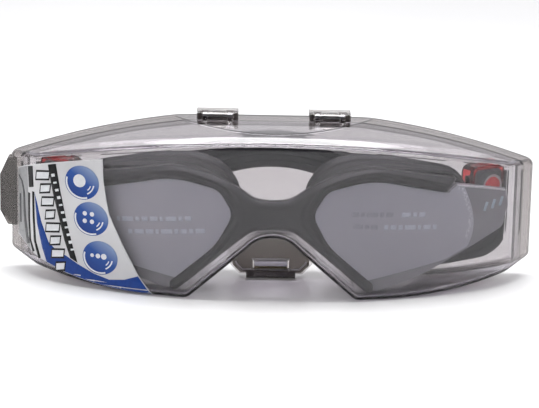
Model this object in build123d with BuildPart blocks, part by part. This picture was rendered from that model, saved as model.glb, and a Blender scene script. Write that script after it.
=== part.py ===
from build123d import *
import math
import os

# Swim goggles closed in their fitted hard case, in millimetres, +Z up, -Y at the front.
# The row's origin is the centre of the case's footprint on the surface that it rests on.
# Outlines are drawn from a datum, the middle of the case's front, FOOT_Z above its foot. The
# planes front(), plan() and side() put that datum into the row's frame.

# Case: overall sizes
CASE_WIDTH = 196.0
CASE_DEPTH = 47.0
WALL = 1.4
BAR_REACH = 3.7
DATUM_X = BAR_REACH / 2
DATUM_Y = -CASE_DEPTH / 2
FOOT_Z = -1.3
DATUM_Z = -FOOT_Z

# Case: plan outline
FRONT_RADIUS = 152.0
CORNER_X = 88.0
CORNER_Y = FRONT_RADIUS - math.sqrt(FRONT_RADIUS ** 2 - CORNER_X ** 2)
CORNER_RADIUS = 10.0
BACK_CORNER_X = 101.1
BACK_CORNER_RADIUS = 3.6
RIM = 2.4

# Case: roof, hinge land and bottom
ROOF_Z = 57.1
ROOF_RISE = 0.08
ROOF_RADIUS = 290.0
LAND_Z = 58.2
LOBE_X = 45.0
BOTTOM_RADIUS = 184.0
ARCH_FOOT_X = 30.5
ARCH_TOP_X = 4.4
ARCH_Z = 22.2
ARCH_RADIUS = 11.0
LOBE_RADIUS = 4.0
REACH = 120.0
END_Z = FOOT_Z + BOTTOM_RADIUS - math.sqrt(BOTTOM_RADIUS ** 2 - (REACH - LOBE_X) ** 2)
START = 5.0

# Case: parting line, hinge and latch
PARTING_Y = 36.0
PARTING_GAP = 0.2
LIP = 1.4
LIP_GAP = 0.4
HINGE_X = 20.8
HINGE_Y = 36.5
HINGE_Z = 59.9
LUG_WIDTH = 15.3
LUG_RADIUS = 1.6
LUG_BACK_Y = 44.5
EAR_RADIUS = 1.45
EAR_WIDTH = 1.6
EAR_X = 4.6
SLOT_WIDTH = 2.2
PIN_RADIUS = 0.8
PIN_LENGTH = 11.0
RUNNING = 0.05
PRESS_GAP = 0.01
LATCH_Y = 34.4
LATCH_Z = 16.8
KNUCKLE_RADIUS = 1.5
KNUCKLE_WIDTH = 13.0
LATCH_EAR_X = 7.6
LATCH_EAR_WIDTH = 1.8
LATCH_EAR_HEIGHT = 3.0
FLAP_THICKNESS = 1.6
WINDOW_WIDTH = 13.6
WINDOW_LOW = 1.9
WINDOW_HIGH = 5.5
CATCH_CLEAR = 0.4

# Goggles
LENS_RADIUS = 146.0
LENS_THICKNESS = 2.0
LENS_AXIS_Y = 152.0
FILM_THICKNESS = 0.3
FILM_MARGIN = 0.8
FRAME_FRONT = 1.5
FRAME_LAP = 1.8
FRAME_BACK = 2.4
FIT_GAP = 0.05
GASKET_WALL = 2.2
AT_LENS_Y = 4.0
AT_FACE_Y = 40.0
GASKET_REAR_Y = 25.0
GASKET_REAR_RADIUS = 480.0

# Buckles behind the outer end of each lens: u runs along the lens, w goes in from it
BUCKLE_ANGLE = 33.5
BUCKLE_RADIUS = 143.6
BUCKLE_INNER = -6.6
BUCKLE_OUTER = 8.4
BUCKLE_LOW = 24.0
BUCKLE_HIGH = 43.6
BUCKLE_FACE = 0.3
BUCKLE_PLATE = 1.6
BUCKLE_DEEP = 6.8
RAIL = 1.6
BACK_PLATE = 0.8
INSERT = 0.4
BUTTON_U = 3.0
BUTTON_Z = 35.5
BUTTON_RADIUS = 3.5
FLANGE_RADIUS = 4.2
FLANGE = 0.65
RING_RADIUS = 4.4
RING = 0.8
STRAP_BAR_U = -4.2
STRAP_BAR_DEPTH = 3.2
STRAP_BAR_RADIUS = 0.9
BOSS_RADIUS = 1.5
BOSSES = ((-3.6, 27.4), (5.2, 27.4))

# Strap
STRAP_Y = 43.0
STRAP_THICKNESS = 1.7
STRAP_WIDTH = 13.0
CROWN_Z = 45.6
CROWN_BEND = 58.0
CROWN_TURN = 50.0
CROWN_RUN = 15.7
FLARE_BEND = 11.3
FLARE_TURN = 62.0
FLARE_RUN = 11.4
TURN_BEND = 7.6
LEG_TOP_Z = 39.5
STRAP_DEPTH = 4.2
STRAP_END = (-5.8, 12.9)
STRAP_END_Z = (27.0, 39.5)

# Label on the left end
LABEL_THICKNESS = 0.2
LABEL_MARGIN = 0.6

# Lanyard bar on the left, with an upright slot for a cord between it and the case
BAR_FRONT_Y = 38.6
BAR_BACK_Y = 44.4
BAR_THICKNESS = 1.5
SLOT_DEPTH = 2.8
SLOT_REACH = 4.0

os.makedirs("parts", exist_ok=True)


def front(y):
    """Upright plane facing the front, y behind the case's front: local axes x and z."""
    return Plane(origin=(DATUM_X, DATUM_Y + y, DATUM_Z), x_dir=(1, 0, 0), z_dir=(0, -1, 0))


def plan(z):
    """Level plane at height z: local axes x and y, y behind the case's front."""
    return Plane(origin=(DATUM_X, DATUM_Y, DATUM_Z + z))


def side(x):
    """Upright plane across the case at x: local axes y and z."""
    return Plane(origin=(DATUM_X + x, DATUM_Y, DATUM_Z), x_dir=(0, 1, 0), z_dir=(1, 0, 0))


MIDDLE = side(0)


def write(part, name):
    part.label = name
    export_step(part, f"parts/{name}.step")


# ------------------------------------------------------------------ the case's shape

def case_solid(inset, rim):
    """The closed outer shape of the case, moved inward by inset, with a rounded rim."""
    drop = ROOF_RADIUS - math.sqrt(ROOF_RADIUS ** 2 - REACH ** 2)
    roof_z = ROOF_Z - inset - START * ROOF_RISE
    with BuildPart() as body:
        with BuildSketch(plan(FOOT_Z + inset)) as outline:
            with BuildLine():
                bow = ThreePointArc((-CORNER_X, CORNER_Y), (0, 0), (CORNER_X, CORNER_Y))
                back = (BACK_CORNER_X, CASE_DEPTH)
                Polyline(bow @ 1, back, (-back[0], back[1]), bow @ 0)
            make_face()
            fillet(outline.vertices().group_by(Axis.Y)[0], CORNER_RADIUS)
            fillet(outline.vertices().group_by(Axis.Y)[-1], BACK_CORNER_RADIUS)
            if inset != 0:
                offset(amount=-inset)
        extrude(amount=LAND_Z - FOOT_Z - 2 * inset)
        with BuildSketch(front(-START)):
            with BuildLine():
                arch = FilletPolyline(
                    (-LOBE_X, FOOT_Z),
                    (-ARCH_FOOT_X, FOOT_Z),
                    (-ARCH_TOP_X, ARCH_Z),
                    (ARCH_TOP_X, ARCH_Z),
                    (ARCH_FOOT_X, FOOT_Z),
                    (LOBE_X, FOOT_Z),
                    radius=[LOBE_RADIUS, ARCH_RADIUS, ARCH_RADIUS, LOBE_RADIUS],
                )
                right = TangentArc(arch @ 1, (REACH, END_Z), tangent=(1, 0))
                left = TangentArc(arch @ 0, (-REACH, END_Z), tangent=(-1, 0))
                Polyline(right @ 1, (REACH, REACH), (-REACH, REACH), left @ 1)
            make_face()
            if inset != 0:
                offset(amount=-inset)
        extrude(amount=-2 * CASE_DEPTH, mode=Mode.INTERSECT)
        with BuildSketch(front(-START)):
            with BuildLine():
                roof = ThreePointArc((-REACH, roof_z - drop), (0, roof_z), (REACH, roof_z - drop))
                Polyline(roof @ 1, (REACH, -REACH), (-REACH, -REACH), roof @ 0)
            make_face()
        extrude(amount=2 * CASE_DEPTH, dir=(0, 1, ROOF_RISE), mode=Mode.INTERSECT)
        if rim > 0:
            bows = [f for f in body.faces().filter_by(GeomType.CYLINDER)
                    if abs(f.radius - (FRONT_RADIUS - inset)) < 0.01]
            rims = [e for e in bows[0].edges() if abs((e % 0.5).Z) < 0.9]
            fillet(rims, rim)
    return body.part


def slab(from_y, to_y):
    """A block over the whole width of the case between two depths, for cutting."""
    with BuildPart() as block:
        with BuildSketch(front(from_y)):
            Rectangle(2 * REACH, 2 * REACH)
        extrude(amount=from_y - to_y)
    return block.part


def x_rod(x_low, x_high, y, z, radius):
    """A round rod along X."""
    with BuildPart() as rod:
        with BuildSketch(side(x_low)):
            with Locations((y, z)):
                Circle(radius)
        extrude(amount=x_high - x_low)
    return rod.part


def front_cover(outer, inner):
    """Deep clear half of the case, with the hinge ears on top and the latch ears in the arch."""
    with BuildPart() as cover:
        add(outer)
        add(inner, mode=Mode.SUBTRACT)
        add(slab(-START, PARTING_Y), mode=Mode.INTERSECT)
        for hinge_x in (-HINGE_X, HINGE_X):
            for ear_x in (hinge_x - EAR_X, hinge_x + EAR_X):
                with BuildSketch(side(ear_x - EAR_WIDTH / 2)):
                    with BuildLine():
                        Polyline(
                            (PARTING_Y - 2.6, LAND_Z - WALL / 2),
                            (PARTING_Y, LAND_Z - WALL / 2),
                            (PARTING_Y, HINGE_Z),
                            (HINGE_Y - EAR_RADIUS, HINGE_Z),
                            close=True,
                        )
                    make_face()
                    with Locations((HINGE_Y, HINGE_Z)):
                        Circle(EAR_RADIUS)
                extrude(amount=EAR_WIDTH)
            low, high = hinge_x - PIN_LENGTH, hinge_x + PIN_LENGTH
            add(x_rod(low, high, HINGE_Y, HINGE_Z, PIN_RADIUS + PRESS_GAP), mode=Mode.SUBTRACT)
        for ear_x in (-LATCH_EAR_X, LATCH_EAR_X):
            with BuildSketch(side(ear_x - LATCH_EAR_WIDTH / 2)):
                with Locations((LATCH_Y, LATCH_Z)):
                    Circle(LUG_RADIUS)
                with Locations((LATCH_Y, LATCH_Z + LATCH_EAR_HEIGHT / 2)):
                    Rectangle(2 * LUG_RADIUS, LATCH_EAR_HEIGHT)
            extrude(amount=LATCH_EAR_WIDTH)
        latch_hole = x_rod(-PIN_LENGTH, PIN_LENGTH, LATCH_Y, LATCH_Z, PIN_RADIUS + PRESS_GAP)
        add(latch_hole, mode=Mode.SUBTRACT)
    return cover


def back_shell(outer, inner, lip_outer, lip_inner):
    """Shallow half of the case, with hinge lugs, a registration lip, latch plate and catch."""
    split_y = PARTING_Y + PARTING_GAP
    with BuildPart() as lip:
        add(lip_outer)
        add(lip_inner, mode=Mode.SUBTRACT)
        add(slab(PARTING_Y - LIP, split_y + LIP), mode=Mode.INTERSECT)
    with BuildPart() as bridge:
        add(outer)
        add(lip_inner, mode=Mode.SUBTRACT)
        add(slab(split_y, split_y + LIP), mode=Mode.INTERSECT)
    with BuildPart() as shell:
        add(outer)
        add(inner, mode=Mode.SUBTRACT)
        add(slab(split_y, CASE_DEPTH + START), mode=Mode.INTERSECT)
        add(bridge.part)
        add(lip.part)
        for hinge_x in (-HINGE_X, HINGE_X):
            with BuildSketch(side(hinge_x - LUG_WIDTH / 2)):
                with Locations((HINGE_Y, HINGE_Z)):
                    Circle(LUG_RADIUS)
                with BuildLine():
                    Polyline(
                        (HINGE_Y, HINGE_Z + LUG_RADIUS),
                        (LUG_BACK_Y - 2, HINGE_Z + LUG_RADIUS),
                        (LUG_BACK_Y, LAND_Z),
                        (LUG_BACK_Y, LAND_Z - WALL / 2),
                        (split_y, LAND_Z - WALL / 2),
                        (split_y, HINGE_Z),
                        (HINGE_Y, HINGE_Z),
                        close=True,
                    )
                make_face()
            extrude(amount=LUG_WIDTH)
            for ear_x in (hinge_x - EAR_X, hinge_x + EAR_X):
                with BuildSketch(side(ear_x - SLOT_WIDTH / 2)):
                    with BuildLine():
                        Polyline(
                            (HINGE_Y - 2, LAND_Z + 0.1),
                            (HINGE_Y + 1.9, LAND_Z + 0.1),
                            (HINGE_Y + 1.9, HINGE_Z + 2),
                            (HINGE_Y - 2, HINGE_Z + 2),
                            close=True,
                        )
                    make_face()
                extrude(amount=SLOT_WIDTH, mode=Mode.SUBTRACT)
            bore_end = PIN_LENGTH / 2 + 0.5
            bore = x_rod(hinge_x - bore_end, hinge_x + bore_end, HINGE_Y, HINGE_Z, PIN_RADIUS + RUNNING)
            add(bore, mode=Mode.SUBTRACT)
        with BuildSketch(front(split_y)):
            with BuildLine():
                Polyline(
                    (-15.6, 13.5),
                    (-15.6, 3.4),
                    (-11.8, -0.6),
                    (11.8, -0.6),
                    (15.6, 3.4),
                    (15.6, 13.5),
                    (ARCH_TOP_X, ARCH_Z + WALL),
                    (-ARCH_TOP_X, ARCH_Z + WALL),
                    close=True,
                )
            make_face()
        extrude(amount=-WALL)
        with BuildSketch(side(-WINDOW_WIDTH / 2 + CATCH_CLEAR)):
            with BuildLine():
                Polyline(
                    (split_y + WALL / 2, WINDOW_LOW + CATCH_CLEAR),
                    (split_y + WALL / 2, WINDOW_HIGH - CATCH_CLEAR),
                    (LATCH_Y, WINDOW_HIGH - CATCH_CLEAR),
                    (LATCH_Y - 1.2, WINDOW_LOW + CATCH_CLEAR + 0.8),
                    (LATCH_Y - 1.2, WINDOW_LOW + CATCH_CLEAR),
                    close=True,
                )
            make_face()
        extrude(amount=WINDOW_WIDTH - 2 * CATCH_CLEAR)
    return shell


def latch_flap():
    """Flap that hangs in the nose arch: knuckle, plate with the catch window, finger lip."""
    half = KNUCKLE_WIDTH / 2
    with BuildPart() as flap:
        with BuildSketch(front(LATCH_Y - FLAP_THICKNESS / 2)):
            with BuildLine():
                FilletPolyline(
                    (-half, LATCH_Z),
                    (-half, 14.2),
                    (-7.8, 14.2),
                    (-14.4, 6.2),
                    (-14.4, 3.6),
                    (-11.4, 0.6),
                    (11.4, 0.6),
                    (14.4, 3.6),
                    (14.4, 6.2),
                    (7.8, 14.2),
                    (half, 14.2),
                    (half, LATCH_Z),
                    radius=[0.4, 0.5, 1.5, 1.2, 1.2, 1.2, 1.2, 1.5, 0.5, 0.4],
                    close=False,
                )
                Line((half, LATCH_Z), (-half, LATCH_Z))
            make_face()
        extrude(amount=-FLAP_THICKNESS)
        with BuildSketch(side(-half)):
            with Locations((LATCH_Y, LATCH_Z)):
                Circle(KNUCKLE_RADIUS)
        extrude(amount=KNUCKLE_WIDTH)
        with BuildSketch(side(-9.2)):
            with BuildLine():
                FilletPolyline(
                    (LATCH_Y + FLAP_THICKNESS / 2, 1.3),
                    (LATCH_Y + FLAP_THICKNESS / 2, -0.4),
                    (30.9, -0.9),
                    (30.3, 0.2),
                    (LATCH_Y - FLAP_THICKNESS / 2, 1.6),
                    radius=[0.5, 0.4, 0.4, 0.3, 0.2],
                    close=True,
                )
            make_face()
        extrude(amount=18.4)
        with BuildSketch(front(LATCH_Y - FLAP_THICKNESS)):
            with Locations((0, (WINDOW_LOW + WINDOW_HIGH) / 2)):
                RectangleRounded(WINDOW_WIDTH, WINDOW_HIGH - WINDOW_LOW, 0.4)
        extrude(amount=-3 * FLAP_THICKNESS, mode=Mode.SUBTRACT)
        bore = x_rod(-half - 1, half + 1, LATCH_Y, LATCH_Z, PIN_RADIUS + RUNNING)
        add(bore, mode=Mode.SUBTRACT)
    return flap


def lanyard_bar(outer):
    """Upright bar on the left of the back shell, with a slot down through it for a cord."""
    left = -CASE_WIDTH / 2
    with BuildPart() as bar:
        with BuildSketch(front(BAR_FRONT_Y)):
            with BuildLine():
                FilletPolyline(
                    (left + 6, 42.5),
                    (left - 0.8, 42.0),
                    (left - BAR_REACH, 35.6),
                    (left - BAR_REACH, 21.8),
                    (left - 0.9, 16.4),
                    (left + 6, 16.0),
                    radius=[0.8, 1.2, 1.2, 0.8],
                )
                Line((left + 6, 16.0), (left + 6, 42.5))
            make_face()
        extrude(amount=BAR_FRONT_Y - BAR_BACK_Y)
        with BuildSketch(plan(0)):
            slot_x = left - BAR_REACH + BAR_THICKNESS + SLOT_REACH / 2
            with Locations((slot_x, (BAR_FRONT_Y + BAR_BACK_Y) / 2)):
                Rectangle(SLOT_REACH, SLOT_DEPTH)
        extrude(amount=LAND_Z, mode=Mode.SUBTRACT)
        add(outer, mode=Mode.SUBTRACT)
    return bar


def label(outer):
    """Paper label wrapped round the left end of the front cover."""
    with BuildPart() as sheet:
        add(case_solid(-LABEL_THICKNESS, RIM))
        add(outer, mode=Mode.SUBTRACT)
        with BuildSketch(front(-START)):
            with BuildLine():
                low = FOOT_Z + LABEL_MARGIN
                edge = Spline((-62.0, 49.0), (-60.8, 35.0), (-56.6, 21.8), (-43.4, low))
                foot = TangentArc(edge @ 1, (-REACH, END_Z + LABEL_MARGIN), tangent=(-1, 0))
                Polyline(foot @ 1, (-REACH, 49.0), edge @ 0)
            make_face()
        extrude(amount=-(PARTING_Y + START - 0.5), mode=Mode.INTERSECT)
        with BuildSketch(front(-START)):
            with BuildLine():
                Polyline(
                    (-REACH, 37.5),
                    (-88, 43.6),
                    (-61.0, 48.4),
                    (-43.0, 48.4),
                    (-43.0, -START),
                    (-REACH, -START),
                    close=True,
                )
            make_face()
        extrude(amount=-2 * CASE_DEPTH, mode=Mode.INTERSECT)
    return sheet


# ------------------------------------------------------------------------ goggles

def draw_lens():
    """Outline of a right lens with its arm, seen from the front."""
    corners = [
        (36.0, 44.4, 34),
        (18.6, 40.3, 9),
        (12.2, 30.0, 8),
        (19.0, 17.0, 26),
        (37.4, 0.6, 3.2),
        (54.0, 5.2, 70),
        (85.8, 20.2, 3),
        (88.2, 28.0, 6),
        (87.1, 34.4, 1.6),
        (67.0, 39.0, 0.8),
        (64.8, 37.5, 1),
    ]
    FilletPolyline(*[(x, z) for x, z, r in corners], radius=[r for x, z, r in corners], close=True)


def bowed(inner_radius, outer_radius):
    """A tube about the lenses' common upright axis, for cutting bowed sheets."""
    with BuildPart() as tube:
        with BuildSketch(plan(-START)):
            with Locations((0, LENS_AXIS_Y)):
                Circle(outer_radius)
                Circle(inner_radius, mode=Mode.SUBTRACT)
        extrude(amount=LAND_Z + 2 * START)
    return tube.part


def buckle_plane(depth):
    """Upright plane behind the arm, facing out of it: local axes u along it and z up."""
    angle = math.radians(BUCKLE_ANGLE)
    outward = Vector(math.sin(angle), -math.cos(angle), 0)
    radius = BUCKLE_RADIUS - depth
    origin = Vector(DATUM_X, DATUM_Y + LENS_AXIS_Y, DATUM_Z) + outward * radius
    return Plane(origin=origin, x_dir=(math.cos(angle), math.sin(angle), 0), z_dir=outward)


def lens():
    """Right lens: a bowed sheet with its arm and two bosses that hold the buckle."""
    with BuildPart() as sheet:
        with BuildSketch(front(0)):
            with BuildLine():
                draw_lens()
            make_face()
        extrude(amount=-CASE_DEPTH)
        add(bowed(LENS_RADIUS - LENS_THICKNESS, LENS_RADIUS), mode=Mode.INTERSECT)
        with BuildSketch(buckle_plane(-1.2)):
            with Locations(*BOSSES):
                Circle(BOSS_RADIUS)
        extrude(amount=-(1.2 + BUCKLE_FACE + BUCKLE_PLATE))
    return sheet


def film():
    """Protective film on the front of the right lens."""
    with BuildPart() as sheet:
        with BuildSketch(front(0)):
            with BuildLine():
                draw_lens()
            make_face()
            offset(amount=-FILM_MARGIN)
            with BuildLine():
                edge = Spline((68.6, 41.0), (72.4, 32.3), (74.3, 23.0), (70.0, 12.0))
                Polyline(edge @ 1, (10, 0), (10, 45), (60, 45), edge @ 0)
            make_face(mode=Mode.INTERSECT)
        extrude(amount=-CASE_DEPTH)
        low = LENS_RADIUS + FIT_GAP
        add(bowed(low, low + FILM_THICKNESS), mode=Mode.INTERSECT)
        add(half_frame().part, mode=Mode.SUBTRACT)
    return sheet


def lens_groove():
    """Space that a lens takes up in the frame, with its running gap."""
    with BuildPart() as groove:
        with BuildSketch(front(0)):
            with BuildLine():
                draw_lens()
            make_face()
            offset(amount=FIT_GAP)
        extrude(amount=-CASE_DEPTH)
        low = LENS_RADIUS - LENS_THICKNESS - FIT_GAP
        add(bowed(low, LENS_RADIUS + FIT_GAP), mode=Mode.INTERSECT)
    return groove.part


def half_frame():
    """Right half of the moulded frame: rim, half the nose bridge and the lens groove."""
    rim = [
        (-1.0, 34.6, 0),
        (6.0, 35.2, 8),
        (12.4, 39.6, 8),
        (21.5, 44.0, 12),
        (36.0, 47.0, 20),
        (67.4, 41.0, 0.8),
        (64.6, 35.8, 0),
        (43.5, 7.5, 0),
        (40.0, 0.5, 1.2),
        (34.4, 0.5, 2.5),
        (13.6, 18.8, 8),
        (7.0, 24.0, 8),
        (-1.0, 24.3, 0),
    ]
    with BuildPart() as frame:
        with BuildSketch(front(0)):
            with BuildLine():
                FilletPolyline(*[(x, z) for x, z, r in rim], radius=[r for x, z, r in rim], close=True)
            make_face()
        extrude(amount=-CASE_DEPTH)
        low = LENS_RADIUS - LENS_THICKNESS - FRAME_BACK
        add(bowed(low, LENS_RADIUS + FRAME_FRONT), mode=Mode.INTERSECT)
        with BuildSketch(front(0)):
            with BuildLine():
                draw_lens()
            make_face()
            offset(amount=-FRAME_LAP)
        extrude(amount=-CASE_DEPTH, mode=Mode.SUBTRACT)
        add(lens_groove(), mode=Mode.SUBTRACT)
    return frame


def goggle_frame():
    """The one-piece frame: both rims and the nose bridge between them."""
    half = half_frame()
    with BuildPart() as frame:
        add(half.part)
        mirror(half.part, about=MIDDLE)
    return frame


def shrunk(points, distance):
    """The same ring of points, each moved inward square to its two neighbours."""
    moved = []
    for i, (x, z) in enumerate(points):
        before = points[i - 1]
        after = points[(i + 1) % len(points)]
        run = (after[0] - before[0], after[1] - before[1])
        length = math.hypot(*run)
        moved.append((x + run[1] / length * distance, z - run[0] / length * distance))
    return moved


def gasket():
    """Right face seal: a soft cup that widens from the lens back to the face."""
    at_lens = [
        (17.2, 31.0), (19.9, 36.6), (25.3, 40.0), (33.0, 41.8), (43.0, 41.4), (54.0, 39.2),
        (63.5, 36.6), (68.6, 31.4), (70.2, 25.0), (68.0, 18.0), (61.0, 12.0), (52.0, 8.2),
        (43.5, 5.6), (37.5, 6.6), (30.5, 13.0), (22.5, 21.8),
    ]
    at_face = [
        (9.9, 35.0), (12.2, 43.0), (17.6, 48.6), (26.6, 51.4), (39.0, 51.2), (53.0, 48.6),
        (65.5, 45.4), (70.8, 39.0), (72.0, 29.5), (69.6, 19.0), (62.0, 10.2), (52.0, 5.4),
        (41.5, 3.4), (32.5, 6.0), (24.0, 13.8), (14.0, 24.8),
    ]
    with BuildPart() as cup:
        for distance, mode in ((0, Mode.ADD), (GASKET_WALL, Mode.SUBTRACT)):
            for y, ring in ((AT_LENS_Y, at_lens), (AT_FACE_Y, at_face)):
                with BuildSketch(front(y)):
                    with BuildLine():
                        Spline(*shrunk(ring, distance), periodic=True)
                    make_face()
            loft(mode=mode)
        inside = bowed(10, LENS_RADIUS - LENS_THICKNESS - FRAME_BACK - FIT_GAP)
        add(inside, mode=Mode.INTERSECT)
        with BuildSketch(plan(-START)):
            with Locations((0, GASKET_REAR_Y + GASKET_REAR_RADIUS)):
                Circle(GASKET_REAR_RADIUS)
        extrude(amount=LAND_Z + 2 * START, mode=Mode.SUBTRACT)
    return cup


# ------------------------------------------------------------------ buckles and strap

def buckle_outline():
    """Front outline of the buckle, for a sketch on a buckle plane."""
    middle = ((BUCKLE_INNER + BUCKLE_OUTER) / 2, (BUCKLE_LOW + BUCKLE_HIGH) / 2)
    with Locations(middle):
        RectangleRounded(BUCKLE_OUTER - BUCKLE_INNER, BUCKLE_HIGH - BUCKLE_LOW, 3)


def insert_outline(spare):
    """Outline of the grip insert with its hole for the ring, grown by spare."""
    with Locations((0.7, 35.9)):
        RectangleRounded(12.4 + 2 * spare, 12.6 + 2 * spare, 2)


def disc(from_depth, to_depth, radius):
    """A round disc on the button's axis between two depths behind the arm."""
    with BuildPart() as piece:
        with BuildSketch(buckle_plane(from_depth)):
            with Locations((BUTTON_U, BUTTON_Z)):
                Circle(radius)
        extrude(amount=from_depth - to_depth)
    return piece.part


def strap_bar(spare):
    """Upright bar inside the buckle that the strap runs over, grown by spare."""
    with BuildPart() as piece:
        with BuildSketch(plan(BUCKLE_LOW + RAIL / 2)):
            axis = buckle_plane(STRAP_BAR_DEPTH).from_local_coords((STRAP_BAR_U, 0))
            centre = plan(0).to_local_coords(axis)
            with Locations((centre.X, centre.Y)):
                Circle(STRAP_BAR_RADIUS + spare)
        extrude(amount=BUCKLE_HIGH - BUCKLE_LOW - RAIL)
    return piece


def buckle_base():
    """Translucent buckle body: a face plate and the two rails that guide the strap."""
    back = BUCKLE_FACE + BUCKLE_PLATE
    with BuildPart() as base:
        with BuildSketch(buckle_plane(BUCKLE_FACE)):
            buckle_outline()
        extrude(amount=-BUCKLE_PLATE)
        with BuildSketch(buckle_plane(back)):
            buckle_outline()
            with Locations((-20, (BUCKLE_LOW + BUCKLE_HIGH) / 2), (20, (BUCKLE_LOW + BUCKLE_HIGH) / 2)):
                Rectangle(60, BUCKLE_HIGH - BUCKLE_LOW - 2 * RAIL, mode=Mode.SUBTRACT)
        extrude(amount=-(BUCKLE_DEEP - BACK_PLATE - back))
        with BuildSketch(buckle_plane(BUCKLE_FACE)):
            insert_outline(FIT_GAP)
        extrude(amount=-INSERT, mode=Mode.SUBTRACT)
        add(disc(BUCKLE_FACE, BUCKLE_FACE + RING, RING_RADIUS + FIT_GAP), mode=Mode.SUBTRACT)
        add(disc(BUCKLE_FACE, back, BUTTON_RADIUS + 2 * RUNNING), mode=Mode.SUBTRACT)
        with BuildSketch(buckle_plane(0)):
            with Locations(*BOSSES):
                Circle(BOSS_RADIUS + FIT_GAP)
        extrude(amount=-back, mode=Mode.SUBTRACT)
        add(strap_bar(PRESS_GAP).part, mode=Mode.SUBTRACT)
    return base


def buckle_insert():
    """Thin grip plate let into the buckle's face, round the button's ring."""
    with BuildPart() as plate:
        with BuildSketch(buckle_plane(BUCKLE_FACE)):
            insert_outline(0)
        extrude(amount=-INSERT)
        add(disc(0, BUCKLE_DEEP, RING_RADIUS + FIT_GAP), mode=Mode.SUBTRACT)
    return plate


def button_ring():
    """Pale ring round the button."""
    with BuildPart() as ring:
        add(disc(BUCKLE_FACE, BUCKLE_FACE + RING, RING_RADIUS))
        add(disc(0, BUCKLE_DEEP, BUTTON_RADIUS + 2 * RUNNING), mode=Mode.SUBTRACT)
    return ring


def button():
    """Push button with a flange behind the face plate that keeps it in."""
    back = BUCKLE_FACE + BUCKLE_PLATE
    with BuildPart() as piece:
        add(disc(BUCKLE_FACE, back + FLANGE, BUTTON_RADIUS))
        add(disc(back + FIT_GAP, back + FLANGE, FLANGE_RADIUS))
    return piece


def buckle_back():
    """Plate that closes the buckle behind the strap."""
    with BuildPart() as plate:
        with BuildSketch(buckle_plane(BUCKLE_DEEP - BACK_PLATE)):
            buckle_outline()
        extrude(amount=-BACK_PLATE)
    return plate


def strap_half():
    """Right half of the strap: it arches over the middle, flares and turns up to the buckle."""
    with BuildPart() as band:
        with BuildSketch(front(STRAP_Y)):
            with BuildLine():
                crown = CenterArc((0, CROWN_Z - CROWN_BEND), CROWN_BEND, 90, -CROWN_TURN)
                fall = Line(crown @ 1, crown @ 1 + (crown % 1) * CROWN_RUN)
                flare = JernArc(fall @ 1, fall % 1, FLARE_BEND, FLARE_TURN)
                rise = Line(flare @ 1, flare @ 1 + (flare % 1) * FLARE_RUN)
                turn = JernArc(rise @ 1, rise % 1, TURN_BEND, 90 + CROWN_TURN - FLARE_TURN)
                Line(turn @ 1, ((turn @ 1).X, LEG_TOP_Z))
            trace(line_width=STRAP_WIDTH)
        extrude(amount=-STRAP_THICKNESS)
        with BuildSketch(buckle_plane(STRAP_DEPTH)):
            with Locations(((STRAP_END[0] + STRAP_END[1]) / 2, (STRAP_END_Z[0] + STRAP_END_Z[1]) / 2)):
                Rectangle(STRAP_END[1] - STRAP_END[0], STRAP_END_Z[1] - STRAP_END_Z[0])
        extrude(amount=-STRAP_THICKNESS)
    return band


def head_strap():
    """The whole strap, folded flat behind the lenses."""
    half = strap_half()
    with BuildPart() as strap:
        add(half.part)
        mirror(half.part, about=MIDDLE)
    return strap


SHELL = case_solid(0, RIM)
CAVITY = case_solid(WALL, RIM - WALL)

cover = front_cover(SHELL, CAVITY)
write(cover.part, "front_cover")

LIP_OUTER = case_solid(WALL + LIP_GAP, 0)
LIP_INNER = case_solid(WALL + LIP_GAP + 0.8, 0)
shell = back_shell(SHELL, CAVITY, LIP_OUTER, LIP_INNER)
write(shell.part, "back_shell")

flap = latch_flap()
write(flap.part, "latch_flap")

bar = lanyard_bar(SHELL)
write(bar.part, "lanyard_bar")

for hinge_x, name in ((-HINGE_X, "left"), (HINGE_X, "right")):
    half_pin = PIN_LENGTH / 2
    pin = x_rod(hinge_x - half_pin, hinge_x + half_pin, HINGE_Y, HINGE_Z, PIN_RADIUS)
    write(pin, f"{name}_hinge_pin")

half_pin = LATCH_EAR_X + LATCH_EAR_WIDTH / 2
pin = x_rod(-half_pin, half_pin, LATCH_Y, LATCH_Z, PIN_RADIUS)
write(pin, "latch_pin")

sticker = label(SHELL)
write(sticker.part, "label")

frame = goggle_frame()
write(frame.part, "goggle_frame")

strap = head_strap()
write(strap.part, "head_strap")

PAIRS = (
    (lens, "lens"),
    (film, "film"),
    (gasket, "gasket"),
    (buckle_base, "buckle_base"),
    (buckle_insert, "buckle_insert"),
    (buckle_back, "buckle_back"),
    (button_ring, "button_ring"),
    (button, "button"),
    (lambda: strap_bar(0), "strap_bar"),
)
for make, name in PAIRS:
    right = make()
    write(right.part, f"right_{name}")
    with BuildPart() as left:
        mirror(right.part, about=MIDDLE)
    write(left.part, f"left_{name}")
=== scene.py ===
import math
import random

import bmesh
import bpy
import numpy as np
from mathutils import Matrix, Vector
from mathutils.geometry import delaunay_2d_cdt


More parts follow.
